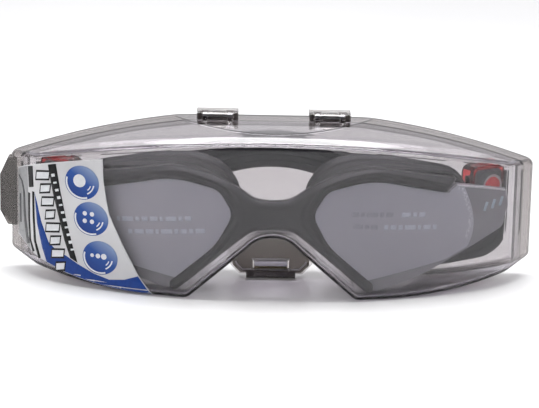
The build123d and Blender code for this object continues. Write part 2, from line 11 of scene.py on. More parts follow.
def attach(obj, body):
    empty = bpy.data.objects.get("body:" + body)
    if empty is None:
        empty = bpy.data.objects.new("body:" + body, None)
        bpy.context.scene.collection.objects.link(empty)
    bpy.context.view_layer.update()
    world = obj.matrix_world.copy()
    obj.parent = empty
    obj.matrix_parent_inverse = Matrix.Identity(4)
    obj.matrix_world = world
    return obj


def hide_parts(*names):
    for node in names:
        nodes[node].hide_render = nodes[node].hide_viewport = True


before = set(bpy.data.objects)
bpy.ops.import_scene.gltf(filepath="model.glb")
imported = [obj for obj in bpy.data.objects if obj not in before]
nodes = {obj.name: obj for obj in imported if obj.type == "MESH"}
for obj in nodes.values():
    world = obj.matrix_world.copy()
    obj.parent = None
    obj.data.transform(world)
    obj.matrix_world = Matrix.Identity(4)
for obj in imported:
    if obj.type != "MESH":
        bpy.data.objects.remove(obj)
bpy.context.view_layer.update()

# Swim goggles in their hard case. The CAD's hard parts keep their shape and get materials here. The soft
# frame, face seals and strap, the label and the small prints are built here as meshes.

# Sizes are in millimetres from the design's datum, as in the CAD: the middle of the case's
# front, FOOT_Z above its foot, with x to the right, y back and z up. at() turns them into the
# row's metres.
MM = 0.001
DATUM = (1.85, -23.5, 1.3)
FOOT_Z = -1.3

# The sign of x on each side, and the side's name
SIDES = ((1, "right"), (-1, "left"))

# Case outline
FRONT_RADIUS = 152.0
CORNER_X = 88.0
CORNER_RADIUS = 10.0
BACK_CORNER = (101.1, 47.0)
BOTTOM_RADIUS = 184.0
LOBE_X = 45.0
RIM = 2.4
ROOF_FALL = (0.138, 0.156)

# Goggles
LENS_RADIUS = 146.0
LENS_AXIS_Y = 152.0
LENS_LAP = 1.8
LENS_THICKNESS = 2.0
FRAME_BACK = 2.4
LENS = [
    (36.0, 44.4, 34),
    (18.6, 40.3, 9),
    (12.2, 30.0, 8),
    (19.0, 17.0, 26),
    (37.4, 0.6, 3.2),
    (54.0, 5.2, 70),
    (85.8, 20.2, 3),
    (88.2, 28.0, 6),
    (87.1, 34.4, 1.6),
    (67.0, 39.0, 0.8),
    (64.8, 37.5, 1),
]
FRAME_RIM = [
    (0.0, 34.7, 0),
    (6.0, 35.2, 8),
    (12.4, 39.6, 8),
    (21.5, 44.0, 12),
    (36.0, 47.0, 20),
    (67.4, 41.0, 0.8),
    (64.6, 35.8, 0),
    (43.5, 7.5, 0),
    (40.0, 0.5, 1.2),
    (34.4, 0.5, 2.5),
    (13.6, 18.8, 8),
    (7.0, 24.0, 8),
    (0.0, 24.3, 0),
]
GASKET_AT_LENS = [
    (17.2, 31.0), (19.9, 36.6), (25.3, 40.0), (33.0, 41.8), (43.0, 41.4), (54.0, 39.2),
    (63.5, 36.6), (68.6, 31.4), (70.2, 25.0), (68.0, 18.0), (61.0, 12.0), (52.0, 8.2),
    (43.5, 5.6), (37.5, 6.6), (30.5, 13.0), (22.5, 21.8),
]
GASKET_AT_FACE = [
    (9.9, 35.0), (12.2, 43.0), (17.6, 48.6), (26.6, 51.4), (39.0, 51.2), (53.0, 48.6),
    (65.5, 45.4), (70.8, 39.0), (72.0, 29.5), (69.6, 19.0), (62.0, 10.2), (52.0, 5.4),
    (41.5, 3.4), (32.5, 6.0), (24.0, 13.8), (14.0, 24.8),
]
GASKET_LENS_Y = 4.0
GASKET_RUN = 36.0
GASKET_REAR_Y = 25.0
GASKET_REAR_RADIUS = 480.0

# Buckle and strap
BUCKLE_ANGLE = 33.5
BUCKLE_RADIUS = 143.6
STRAP_Y = 43.0
STRAP_THICKNESS = 1.7
STRAP_WIDTH = 13.0
CROWN_Z = 45.6
CROWN_BEND = 58.0
CROWN_TURN = 50.0
CROWN_RUN = 15.7
FLARE_BEND = 11.3
FLARE_TURN = 62.0
FLARE_RUN = 11.4
TURN_BEND = 7.6
LEG_TOP_Z = 39.5
STRAP_DEPTH = 4.2
STRAP_END = (-5.8, 12.9)
STRAP_END_Z = (27.0, 39.5)


def at(x, y, z):
    """A place in design millimetres as a point of the row, in metres."""
    return Vector((x + DATUM[0], y + DATUM[1], z + DATUM[2])) * MM


# ------------------------------------------------------------------ camera and studio

TARGET = at(-1.43, 0, 35.5)
ELEVATION = math.radians(14)
AZIMUTH = math.radians(-0.8)
DISTANCE = 0.8
ROLL = math.radians(1.2)


def set_camera():
    """A long lens that looks down a little on the case, and is rolled a little."""
    toward = Vector((
        math.sin(AZIMUTH) * math.cos(ELEVATION),
        -math.cos(AZIMUTH) * math.cos(ELEVATION),
        math.sin(ELEVATION),
    ))
    level = Vector((0, 0, 1)).cross(toward).normalized()
    upright = toward.cross(level)
    across = level * math.cos(ROLL) + upright * math.sin(ROLL)
    above = upright * math.cos(ROLL) - level * math.sin(ROLL)
    data = bpy.data.cameras.new("camera")
    data.lens = 149.6
    data.sensor_width = 36
    camera = bpy.data.objects.new("camera", data)
    bpy.context.scene.collection.objects.link(camera)
    turn = Matrix((across, above, toward)).transposed().to_4x4()
    camera.matrix_world = Matrix.Translation(TARGET + toward * DISTANCE) @ turn
    bpy.context.scene.camera = camera


def softbox(name, place, aim, width, height, power):
    """A rectangular soft light that faces a point."""
    data = bpy.data.lights.new(name, "AREA")
    data.shape = "RECTANGLE"
    data.size = width
    data.size_y = height
    data.energy = power
    lamp = bpy.data.objects.new(name, data)
    lamp.location = place
    lamp.rotation_euler = (Vector(aim) - Vector(place)).to_track_quat("-Z", "Y").to_euler()
    bpy.context.scene.collection.objects.link(lamp)


def set_world():
    """A studio that is dark behind the camera and pale beyond the object."""
    world = bpy.data.worlds.new("studio")
    world.use_nodes = True
    tree = world.node_tree
    background = tree.nodes["Background"]
    place = tree.nodes.new("ShaderNodeTexCoord")
    split = tree.nodes.new("ShaderNodeSeparateXYZ")
    ramp = tree.nodes.new("ShaderNodeValToRGB")
    span = tree.nodes.new("ShaderNodeMapRange")
    span.inputs["From Min"].default_value = -1
    span.inputs["From Max"].default_value = 1
    dark, pale = ramp.color_ramp.elements
    dark.position = 0.42
    dark.color = (0.05, 0.05, 0.054, 1)
    pale.position = 0.88
    pale.color = (0.85, 0.845, 0.87, 1)
    tree.links.new(place.outputs["Generated"], split.inputs[0])
    tree.links.new(split.outputs["Y"], span.inputs["Value"])
    tree.links.new(span.outputs["Result"], ramp.inputs["Fac"])
    tree.links.new(ramp.outputs["Color"], background.inputs["Color"])
    background.inputs["Strength"].default_value = 0.9
    bpy.context.scene.world = world


def set_light_paths():
    """Enough bounces to see through both walls of the case and the lenses between them."""
    scene = bpy.context.scene
    scene.view_settings.view_transform = "Standard"
    scene.cycles.max_bounces = 24
    scene.cycles.transmission_bounces = 20
    scene.cycles.transparent_max_bounces = 24


set_camera()
softbox("overhead", (0, 0.05, 0.95), (0, 0, 0), 0.9, 0.5, 12)
softbox("far_fill", (0, 2.3, 1.6), (0, 2.3, 0), 1.8, 1.2, 16)
softbox("back_card", (0.0, 1.5, 0.98), (0, 0, 0.05), 1.6, 0.26, 2.0)
softbox("front_left", (-0.85, -0.75, 0.75), (0, 0, 0.03), 0.5, 0.5, 4)
softbox("front_right", (0.9, -0.6, 0.7), (0, 0, 0.03), 0.4, 0.5, 3)
set_world()
set_light_paths()


# ------------------------------------------------------------------ materials

class Paint:
    """A material with a Principled shader, and short calls for the nodes that feed it."""

    def __init__(self, name, colour, roughness, **sockets):
        self.material = bpy.data.materials.new(name)
        self.material.use_nodes = True
        self.tree = self.material.node_tree
        self.shader = self.tree.nodes["Principled BSDF"]
        self.shader.inputs["Base Color"].default_value = (*colour, 1)
        self.shader.inputs["Roughness"].default_value = roughness
        for socket, value in sockets.items():
            self.shader.inputs[socket.replace("_", " ")].default_value = value
        self.place = self.tree.nodes.new("ShaderNodeTexCoord").outputs["Object"]

    def node(self, kind, **settings):
        made = self.tree.nodes.new(kind)
        for key, value in settings.items():
            setattr(made, key, value)
        return made

    def link(self, source, target):
        self.tree.links.new(source, target)

    def noise(self, scale, detail=2.0, stretch=(1, 1, 1)):
        """Noise of that scale per metre, drawn out along an axis by a small stretch number."""
        mapping = self.node("ShaderNodeMapping")
        mapping.inputs["Scale"].default_value = stretch
        grain = self.node("ShaderNodeTexNoise")
        grain.inputs["Scale"].default_value = scale
        grain.inputs["Detail"].default_value = detail
        self.link(self.place, mapping.inputs["Vector"])
        self.link(mapping.outputs["Vector"], grain.inputs["Vector"])
        return grain.outputs["Fac"]

    def ramp(self, source, *stops):
        """A colour ramp with (position, colour) stops."""
        node = self.node("ShaderNodeValToRGB")
        elements = node.color_ramp.elements
        while len(elements) < len(stops):
            elements.new(0.5)
        for element, (position, colour) in zip(elements, stops):
            element.position = position
            element.color = (*colour, 1) if len(colour) == 3 else colour
        self.link(source, node.inputs["Fac"])
        return node.outputs["Color"]

    def spread(self, source, low, high, target, source_low=0.0, source_high=1.0):
        """Feeds a socket with source, spread from low to high."""
        node = self.node("ShaderNodeMapRange")
        node.inputs["From Min"].default_value = source_low
        node.inputs["From Max"].default_value = source_high
        node.inputs["To Min"].default_value = low
        node.inputs["To Max"].default_value = high
        self.link(source, node.inputs["Value"])
        self.link(node.outputs["Result"], self.shader.inputs[target])

    def colour(self, source):
        self.link(source, self.shader.inputs["Base Color"])

    def bump(self, *layers):
        """Bump from (source, distance in metres) layers, one on top of the other."""
        normal = None
        for source, distance in layers:
            node = self.node("ShaderNodeBump")
            node.inputs["Distance"].default_value = distance
            self.link(source, node.inputs["Height"])
            if normal is not None:
                self.link(normal, node.inputs["Normal"])
            normal = node.outputs["Normal"]
        self.link(normal, self.shader.inputs["Normal"])

    def tint(self, colour, density):
        """Colour that deepens with the thickness of a clear part."""
        absorb = self.node("ShaderNodeVolumeAbsorption")
        absorb.inputs["Color"].default_value = (*colour, 1)
        absorb.inputs["Density"].default_value = density
        self.link(absorb.outputs[0], self.tree.nodes["Material Output"].inputs["Volume"])

    def let_lamps_through(self, colour):
        """Lets lamps light what is behind a clear part."""
        path = self.node("ShaderNodeLightPath")
        clear = self.node("ShaderNodeBsdfTransparent")
        clear.inputs["Color"].default_value = (*colour, 1)
        mix = self.node("ShaderNodeMixShader")
        self.link(path.outputs["Is Shadow Ray"], mix.inputs[0])
        self.link(self.shader.outputs[0], mix.inputs[1])
        self.link(clear.outputs[0], mix.inputs[2])
        self.link(mix.outputs[0], self.tree.nodes["Material Output"].inputs["Surface"])


def crown(paint):
    """Height that falls away towards the case's bowed front, which rounds the front of its roof."""
    centre = at(0, FRONT_RADIUS, 0)
    place = paint.node("ShaderNodeVectorMath", operation="SUBTRACT")
    place.inputs[1].default_value = centre
    flatten = paint.node("ShaderNodeVectorMath", operation="MULTIPLY")
    flatten.inputs[1].default_value = (1, 1, 0)
    away = paint.node("ShaderNodeVectorMath", operation="LENGTH")
    paint.link(paint.place, place.inputs[0])
    paint.link(place.outputs[0], flatten.inputs[0])
    paint.link(flatten.outputs[0], away.inputs[0])
    fall = paint.node("ShaderNodeMapRange", interpolation_type="SMOOTHERSTEP")
    fall.inputs["From Min"].default_value = ROOF_FALL[0]
    fall.inputs["From Max"].default_value = ROOF_FALL[1]
    fall.inputs["To Min"].default_value = 1
    fall.inputs["To Max"].default_value = 0
    paint.link(away.outputs["Value"], fall.inputs["Value"])
    return fall.outputs["Result"]


def clear_plastic(
    name, colour, tint, density, roughness, scratch, shadow, clarity=1.0, shine=0.5, crowned=False,
):
    """Polished clear plastic with faint moulding flow, hairline scratches and a tint in its depth.

    shadow is what it lets through of a lamp's light, and crowned rounds the front of the roof."""
    paint = Paint(
        name, colour, roughness, Transmission_Weight=clarity, IOR=1.49, Specular_IOR_Level=shine,
    )
    flow = paint.noise(22, 2)
    hair = paint.noise(260, 3, (1, 0.08, 0.6))
    scuff = paint.noise(900, 4, (0.15, 1, 1))
    layers = [(flow, 0.0004), (hair, scratch)]
    if crowned:
        layers.insert(1, (crown(paint), 0.0007))
    paint.bump(*layers)
    paint.spread(scuff, roughness, roughness + 0.09, "Roughness", 0.55, 0.85)
    paint.tint(tint, density)
    paint.let_lamps_through(shadow)
    return paint.material


def rubber(name, dark, light, roughness, sheen_tint):
    """Moulded silicone: satin, slightly mottled, with fine dust on it."""
    paint = Paint(
        name, dark, roughness, Sheen_Weight=0.05, Sheen_Roughness=0.35, Specular_IOR_Level=0.35,
    )
    paint.shader.inputs["Sheen Tint"].default_value = (*sheen_tint, 1)
    mottle = paint.noise(45, 3)
    dust = paint.noise(5200, 2)
    skin = paint.noise(1900, 3)
    base = paint.ramp(mottle, (0.3, dark), (0.7, light))
    specks = paint.ramp(dust, (0.735, (0, 0, 0)), (0.76, (0.22, 0.22, 0.23)))
    add = paint.node("ShaderNodeMix", data_type="RGBA", blend_type="ADD")
    add.inputs["Factor"].default_value = 1
    paint.link(base, add.inputs["A"])
    paint.link(specks, add.inputs["B"])
    paint.colour(add.outputs["Result"])
    paint.spread(skin, roughness - 0.06, roughness + 0.1, "Roughness", 0.3, 0.7)
    paint.bump((mottle, 0.0002), (skin, 0.00001))
    return paint.material


CLEAR_CASE = clear_plastic(
    "clear_case", (0.97, 0.965, 0.975), (0.45, 0.41, 0.46), 360,
    roughness=0.025, scratch=0.000004, shadow=(0.82, 0.81, 0.83), shine=0.2, crowned=True,
)
SMOKE_CASE = clear_plastic(
    "smoke_case", (0.93, 0.92, 0.92), (0.4, 0.36, 0.35), 540,
    roughness=0.04, scratch=0.000006, shadow=(0.65, 0.64, 0.64), shine=0.3, crowned=True,
)
FITTINGS = clear_plastic(
    "smoke_fittings", (0.5, 0.47, 0.45), (0.2, 0.16, 0.13), 900,
    roughness=0.16, scratch=0.00001, shadow=(0.3, 0.28, 0.27), clarity=0.85,
)
LENS_SMOKE = clear_plastic(
    "lens_smoke", (0.52, 0.52, 0.54), (0.3, 0.29, 0.3), 260,
    roughness=0.05, scratch=0.000003, shadow=(0.5, 0.5, 0.5), clarity=0.42,
)
BUCKLE_RED = clear_plastic(
    "buckle_red", (0.9, 0.12, 0.13), (0.9, 0.08, 0.1), 300,
    roughness=0.1, scratch=0.000006, shadow=(0.8, 0.1, 0.1),
)
SILICONE = rubber(
    "silicone", (0.011, 0.0105, 0.0115), (0.019, 0.018, 0.02), 0.38, sheen_tint=(0.7, 0.62, 0.55),
)
STRAP_SILICONE = rubber(
    "strap_silicone", (0.012, 0.0125, 0.0145), (0.02, 0.021, 0.025), 0.42, sheen_tint=(0.6, 0.66, 0.75),
)


def film_plastic():
    """Matte protective film with a fine haze and trapped bubbles."""
    paint = Paint("film", (0.58, 0.59, 0.63), 0.5, Specular_IOR_Level=0.25)
    haze = paint.noise(38, 3)
    bubble = paint.node("ShaderNodeTexVoronoi")
    bubble.inputs["Scale"].default_value = 900
    paint.link(paint.place, bubble.inputs["Vector"])
    paint.colour(paint.ramp(haze, (0.3, (0.56, 0.575, 0.62)), (0.7, (0.61, 0.615, 0.65))))
    paint.spread(haze, 0.4, 0.56, "Roughness", 0.35, 0.65)
    paint.bump((haze, 0.00012), (bubble.outputs["Distance"], 0.000015))
    return paint.material


FILM = film_plastic()


def label_paper():
    """Coated silver-white paper with a soft mottle."""
    paint = Paint("label_paper", (0.66, 0.655, 0.67), 0.34, Specular_IOR_Level=0.3)
    tone = paint.noise(30, 2)
    fibre = paint.noise(1500, 4)
    paint.colour(paint.ramp(tone, (0.3, (0.58, 0.575, 0.59)), (0.7, (0.72, 0.715, 0.73))))
    paint.spread(fibre, 0.28, 0.42, "Roughness", 0.3, 0.7)
    paint.bump((tone, 0.0001), (fibre, 0.000006))
    return paint.material


def ink(name, low, high, roughness=0.36):
    """Printed ink with a faint uneven lay-down."""
    paint = Paint(name, low, roughness, Specular_IOR_Level=0.25)
    lay = paint.noise(700, 4)
    paint.colour(paint.ramp(lay, (0.3, low), (0.7, high)))
    paint.spread(lay, roughness - 0.05, roughness + 0.08, "Roughness", 0.3, 0.7)
    paint.bump((lay, 0.000004))
    return paint.material


LABEL_PAPER = label_paper()
BLACK_INK = ink("black_ink", (0.004, 0.004, 0.005), (0.009, 0.009, 0.01))
BLUE_INK = ink("blue_ink", (0.008, 0.045, 0.24), (0.012, 0.058, 0.29))
SILVER_INK = ink("silver_ink", (0.34, 0.34, 0.35), (0.4, 0.4, 0.41), 0.3)
WHITE_INK = ink("white_ink", (0.72, 0.73, 0.76), (0.8, 0.81, 0.83))
SILVER_DARK = ink("silver_dark", (0.09, 0.09, 0.095), (0.12, 0.12, 0.125))
FAINT_INK = ink("faint_ink", (0.48, 0.49, 0.54), (0.51, 0.52, 0.57), 0.5)
BUBBLE = ink("bubble", (0.74, 0.76, 0.8), (0.84, 0.85, 0.88), 0.2)
# Pale glossy ink for a strip along each arm's top edge: a painted highlight
ARM_HIGHLIGHT = ink("arm_highlight", (0.74, 0.74, 0.75), (0.84, 0.84, 0.85), 0.18)
PALE_INK = ink("pale_ink", (0.5, 0.6, 0.68), (0.56, 0.66, 0.73))
PRINT_INK = ink("print_ink", (0.72, 0.77, 0.83), (0.78, 0.83, 0.88), 0.5)
# Pale lilac-white for the catch behind the flap's window: painted light for the light and reflections in
# the clear catch
CATCH_LIT = ink("catch_painted_light", (0.84, 0.82, 0.9), (0.92, 0.9, 0.96), 0.2)
# Pale lilac ink for the latch flap's edge line and window strips: painted highlight
LATCH_HIGHLIGHT = ink("latch_edge_highlight", (0.54, 0.52, 0.56), (0.6, 0.58, 0.62), 0.25)
# Warm yellow for the catch's foot: a painted glint
CATCH_GLINT = ink("catch_painted_glint", (0.7, 0.64, 0.45), (0.8, 0.74, 0.55), 0.25)


def steel():
    """Drawn steel wire with fine streaks along it."""
    paint = Paint("pin_steel", (0.55, 0.55, 0.56), 0.28, Metallic=1.0)
    drawn = paint.noise(2400, 3, (0.05, 1, 1))
    paint.colour(paint.ramp(drawn, (0.3, (0.42, 0.42, 0.43)), (0.7, (0.62, 0.62, 0.63))))
    paint.spread(drawn, 0.2, 0.38, "Roughness", 0.3, 0.7)
    paint.bump((drawn, 0.00001))
    return paint.material


def moulded(name, low, high, roughness, grain, height):
    """Opaque moulded plastic with a fine texture."""
    paint = Paint(name, low, roughness)
    tone = paint.noise(60, 2)
    skin = paint.noise(grain, 3)
    paint.colour(paint.ramp(tone, (0.3, low), (0.7, high)))
    paint.spread(skin, roughness - 0.05, roughness + 0.08, "Roughness", 0.3, 0.7)
    paint.bump((skin, height))
    return paint.material


def speckled():
    """Dark grip plate with a fine speckle."""
    paint = Paint("grip_speckle", (0.05, 0.05, 0.055), 0.5)
    cells = paint.node("ShaderNodeTexVoronoi")
    cells.inputs["Scale"].default_value = 2600
    paint.link(paint.place, cells.inputs["Vector"])
    paint.colour(paint.ramp(
        cells.outputs["Distance"], (0.2, (0.24, 0.23, 0.24)), (0.5, (0.03, 0.03, 0.034)),
    ))
    paint.spread(cells.outputs["Distance"], 0.35, 0.6, "Roughness")
    paint.bump((cells.outputs["Distance"], 0.00008))
    return paint.material


STEEL = steel()
RING_PALE = moulded("ring_pale", (0.5, 0.42, 0.42), (0.56, 0.48, 0.48), 0.3, 2000, 0.000006)
BUTTON_RED = moulded("button_red", (0.55, 0.012, 0.018), (0.68, 0.02, 0.025), 0.25, 2000, 0.000006)
GRIP = speckled()
CAP_SMOKE = moulded("cap_smoke", (0.3, 0.285, 0.28), (0.36, 0.345, 0.34), 0.2, 1500, 0.000008)


def paint_nodes():
    """Gives each CAD node that stays visible its material."""
    painted = {
        "front_cover": CLEAR_CASE,
        "back_shell": SMOKE_CASE,
        "latch_flap": FITTINGS,
        "lanyard_bar": FITTINGS,
        "latch_pin": STEEL,
        "left_hinge_pin": STEEL,
        "right_hinge_pin": STEEL,
    }
    for _, side in SIDES:
        painted[f"{side}_lens"] = LENS_SMOKE
        painted[f"{side}_film"] = FILM
        painted[f"{side}_buckle_base"] = BUCKLE_RED
        painted[f"{side}_buckle_insert"] = GRIP
        painted[f"{side}_buckle_back"] = BUCKLE_RED
        painted[f"{side}_button_ring"] = RING_PALE
        painted[f"{side}_button"] = BUTTON_RED
        painted[f"{side}_strap_bar"] = BUCKLE_RED
    for name, material in painted.items():
        for slot in nodes[name].material_slots:
            slot.material = material


paint_nodes()


# ------------------------------------------------------------------ outlines

def rounded(corners, step=0.5):
    """Points along a closed outline of (x, z, radius) corners joined by lines and arcs."""
    points = []
    for i, (x, z, radius) in enumerate(corners):
        here = Vector((x, z))
        back = (Vector(corners[i - 1][:2]) - here).normalized()
        ahead = (Vector(corners[(i + 1) % len(corners)][:2]) - here).normalized()
        if radius == 0:
            points.append(here)
            continue
        half = back.angle(ahead) / 2
        run = radius / math.tan(half)
        centre = here + (back + ahead).normalized() * radius / math.sin(half)
        first = here + back * run - centre
        swing = first.angle_signed(here + ahead * run - centre)
        count = max(2, math.ceil(radius * abs(swing) / step))
        for k in range(count + 1):
            points.append(centre + turned(first, -swing * k / count))
    return points


def turned(vector, angle):
    """A flat vector turned anticlockwise."""
    c, s = math.cos(angle), math.sin(angle)
    return Vector((vector.x * c - vector.y * s, vector.x * s + vector.y * c))


def resampled(points, count, closed=False):
    """The same line with count evenly spaced points."""
    line = np.array([(*p,) for p in points], float)
    if closed:
        line = np.vstack([line, line[:1]])
    steps = np.hypot(*(line[1:] - line[:-1]).T[:2])
    along = np.concatenate([[0], np.cumsum(steps)])
    wanted = np.linspace(0, along[-1], count + 1 if closed else count)
    if closed:
        wanted = wanted[:-1]
    return np.column_stack([np.interp(wanted, along, line[:, k]) for k in range(line.shape[1])])


def inset(points, distance):
    """A closed anticlockwise ring of points moved inward by distance."""
    ring = np.array(points, float)
    run = np.roll(ring, -1, 0) - np.roll(ring, 1, 0)
    run /= np.linalg.norm(run, axis=1)[:, None]
    return ring + np.column_stack([-run[:, 1], run[:, 0]]) * distance


def smooth_ring(points, count):
    """A closed Catmull-Rom curve through the points, evenly sampled."""
    ring = np.array(points, float)
    dense = []
    for i in range(len(ring)):
        p0, p1, p2, p3 = (ring[(i + k) % len(ring)] for k in (-1, 0, 1, 2))
        for t in np.linspace(0, 1, 24, endpoint=False):
            dense.append(0.5 * (
                2 * p1 + (p2 - p0) * t + (2 * p0 - 5 * p1 + 4 * p2 - p3) * t * t
                + (3 * p1 - p0 - 3 * p2 + p3) * t ** 3
            ))
    return resampled(dense, count, closed=True)


def bow_y(x, radius=LENS_RADIUS):
    """Depth of an upright sheet bowed about the lenses' common axis."""
    return LENS_AXIS_Y - math.sqrt(radius * radius - x * x)


# ------------------------------------------------------------------ mesh pieces

def piece(name, body, material, points, faces, smooth=True, mirrored=False):
    """A mesh object from design-millimetre points, riding on a body."""
    mesh = bpy.data.meshes.new(name)
    mesh.from_pydata([at(*p) for p in points], [], faces)
    build = bmesh.new()
    build.from_mesh(mesh)
    bmesh.ops.remove_doubles(build, verts=build.verts, dist=1e-6)
    if mirrored:
        seam = [f for f in build.faces if all(abs(v.co.x - DATUM[0] * MM) < 1e-6 for v in f.verts)]
        bmesh.ops.delete(build, geom=seam, context="FACES_ONLY")
        both = bmesh.ops.duplicate(build, geom=build.verts[:] + build.edges[:] + build.faces[:])
        copies = [g for g in both["geom"] if isinstance(g, bmesh.types.BMVert)]
        for vert in copies:
            vert.co.x = 2 * DATUM[0] * MM - vert.co.x
        bmesh.ops.remove_doubles(build, verts=build.verts, dist=1e-6)
    bmesh.ops.recalc_face_normals(build, faces=build.faces)
    build.to_mesh(mesh)
    build.free()
    mesh.materials.append(material)
    if smooth:
        mesh.polygons.foreach_set("use_smooth", [True] * len(mesh.polygons))
    made = bpy.data.objects.new(name, mesh)
    bpy.context.scene.collection.objects.link(made)
    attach(made, body)
    return made


def loops_to_faces(rings, count, closed_rings=False):
    """Quads between rings of count points, numbered one ring after the other."""
    faces = []
    last = rings if closed_rings else rings - 1
    for r in range(last):
        for k in range(count):
            a, b = r * count + k, r * count + (k + 1) % count
            c, d = ((r + 1) % rings) * count + (k + 1) % count, ((r + 1) % rings) * count + k
            faces.append((a, b, c, d))
    return faces


def nearest(points, target):
    """Index of the point nearest to a target."""
    return int(np.argmin(np.hypot(*(np.array(points) - np.array(target)).T)))


def parts_between(ring, knots, counts):
    """Pieces of a closed ring between knots, resampled to counts points each and joined."""
    line = np.array([(*p,) for p in ring], float)
    joined = []
    for first, last, count in zip(knots[:-1], knots[1:], counts):
        i, j = nearest(line, first), nearest(line, last)
        run = line[i:j + 1] if j >= i else np.vstack([line[i:], line[:j + 1]])
        joined.append(resampled(run, count + 1)[:-1])
    joined.append(line[nearest(line, knots[-1])][None, :])
    return np.vstack(joined)


def frame_height(inner, outer):
    """Front of the frame's section above the lens, by distance from its inner and outer edges."""
    lip = 0.95 * min(inner / 0.7, 1) ** 0.5
    dish = -0.4 * math.exp(-((inner - 2.4) / 0.7) ** 2)
    bead = 0.35 * math.exp(-((inner - 3.9) / 0.6) ** 2)
    fall = max(0.0, 1 - outer / 2.2)
    return 0.25 + lip + dish + bead - 1.6 * fall ** 2


def goggle_frame():
    """The frame: two rims that lap the lenses, with a nose bridge between them."""
    counts = (56, 30, 26, 16, 26, 46)
    inner_knots = [
        (63.4, 36.2), (36.0, 41.0), (20.6, 38.0), (14.6, 31.8), (14.9, 28.0), (21.6, 18.4), (37.2, 3.6),
    ]
    outer_knots = [
        (67.2, 41.0), (35.0, 46.4), (14.6, 40.6), (0.0, 34.7), (0.0, 24.3), (13.0, 19.6), (36.8, 0.5),
    ]
    lens_ring = resampled(rounded(LENS), 900, closed=True)
    inner = parts_between(inset(lens_ring, LENS_LAP), inner_knots, counts)
    rim_ring = resampled(rounded(FRAME_RIM), 1600, closed=True)[::-1]
    keep = rim_ring[rim_ring[:, 0] > -0.01]
    top = parts_between(rim_ring, outer_knots[:4], counts[:3])
    seam = np.linspace(outer_knots[3][1], outer_knots[4][1], counts[3] + 1)[1:-1]
    bridge = np.column_stack([np.zeros(counts[3] - 1), seam])
    low = parts_between(rim_ring, outer_knots[4:], counts[4:])
    outer = np.vstack([top, bridge, low])
    border = keep[keep[:, 0] > 0.3]
    across = 22
    points = []
    for here, there in zip(inner, outer):
        ring = []
        for u in np.linspace(0, 1, across) ** 0.9:
            x, z = here + (there - here) * u
            from_inner = float(np.hypot(x - here[0], z - here[1]))
            from_outer = float(np.min(np.hypot(border[:, 0] - x, border[:, 1] - z)))
            ring.append((x, bow_y(x, LENS_RADIUS + frame_height(from_inner, from_outer)), z))
        depth = LENS_THICKNESS + FRAME_BACK
        edge = 1.0 if there[0] < 0.01 else 0.97
        for u, back in ((1, 0.8), (edge, depth - 0.6), (edge - 0.07, depth), (0.5, depth), (0.06, depth)):
            x, z = here + (there - here) * u
            ring.append((x, bow_y(x, LENS_RADIUS - back), z))
        ring.append((here[0], bow_y(here[0], LENS_RADIUS - depth + 0.5), here[1]))
        points.append(ring)
    size = len(points[0])
    flat = [p for ring in points for p in ring]
    faces = loops_to_faces(len(points), size)
    faces.append(tuple(range(size)))
    faces.append(tuple(range(len(flat) - size, len(flat))))
    made = piece("frame_body", "front_cover", SILICONE, flat, faces, mirrored=True)
    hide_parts("goggle_frame")


def gasket(name, sign):
    """One face seal: a soft cup with stepped ribs and a rolled lip at the face."""
    count = 220
    lens_ring = smooth_ring(GASKET_AT_LENS, count)
    face_ring = smooth_ring(GASKET_AT_FACE, count)
    profile = [
        (0.0, 0.0), (0.04, 0.5), (0.09, 0.55), (0.13, 0.1), (0.2, 0.0), (0.28, 0.35), (0.33, 0.4),
        (0.38, 0.05), (0.48, 0.0), (0.58, 0.3), (0.63, 0.35), (0.68, 0.05), (0.8, 0.1), (0.9, 0.55),
        (0.96, 0.95), (1.0, 0.9), (1.015, 0.4), (1.0, -0.6), (0.985, -1.5), (0.96, -2.2), (0.93, -2.3),
        (0.9, -1.9), (0.8, -1.6), (0.6, -1.5), (0.3, -1.5), (0.0, -1.5),
    ]
    rings = []
    lens_out = inset(lens_ring, 1.0) - lens_ring
    sheet_back = LENS_RADIUS - LENS_THICKNESS - FRAME_BACK + 0.1
    ends = []
    for a, b in zip(lens_ring, face_ring):
        low, high = None, None
        for t in np.linspace(-0.2, 1.2, 281):
            x = a[0] + (b[0] - a[0]) * t
            y = GASKET_LENS_Y + GASKET_RUN * t
            if low is None and y > bow_y(x, sheet_back):
                low = t
            rear = GASKET_REAR_Y + GASKET_REAR_RADIUS - math.sqrt(GASKET_REAR_RADIUS ** 2 - x * x)
            if high is None and y > rear:
                high = t
        ends.append((low, max(high, low + 0.03)))
    for v, out in profile:
        ring = []
        for a, b, (low, high), normal in zip(lens_ring, face_ring, ends, lens_out):
            t = low + (high - low) * v
            x, z = a + (b - a) * t
            y = GASKET_LENS_Y + GASKET_RUN * t
            ring.append((sign * (x + normal[0] * out), y, z + normal[1] * out))
        rings.append(ring)
    flat = [p for ring in rings for p in ring]
    faces = loops_to_faces(len(rings), count, closed_rings=True)
    made = piece(name, "front_cover", SILICONE, flat, faces)
    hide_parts("right_gasket" if sign > 0 else "left_gasket")


def strap_path():
    """Centre line of the strap's right half in the upright plane, with its direction."""
    line = [(Vector((0, CROWN_Z)), 0.0)]

    def bend(radius, degrees, count):
        place, heading = line[-1]
        side = math.copysign(1, degrees)
        middle = place + Vector((-math.sin(heading), math.cos(heading))) * radius * side
        for k in range(1, count + 1):
            a = heading + math.radians(degrees) * k / count
            line.append((middle + Vector((math.sin(a), -math.cos(a))) * radius * side, a))

    def run(length, count):
        place, heading = line[-1]
        ahead = Vector((math.cos(heading), math.sin(heading)))
        for k in range(1, count + 1):
            line.append((place + ahead * length * k / count, heading))

    bend(CROWN_BEND, -CROWN_TURN, 40)
    run(CROWN_RUN, 8)
    bend(FLARE_BEND, FLARE_TURN, 16)
    run(FLARE_RUN, 6)
    bend(TURN_BEND, 90 + CROWN_TURN - FLARE_TURN, 22)
    run(LEG_TOP_Z - line[-1][0].y, 8)
    return line


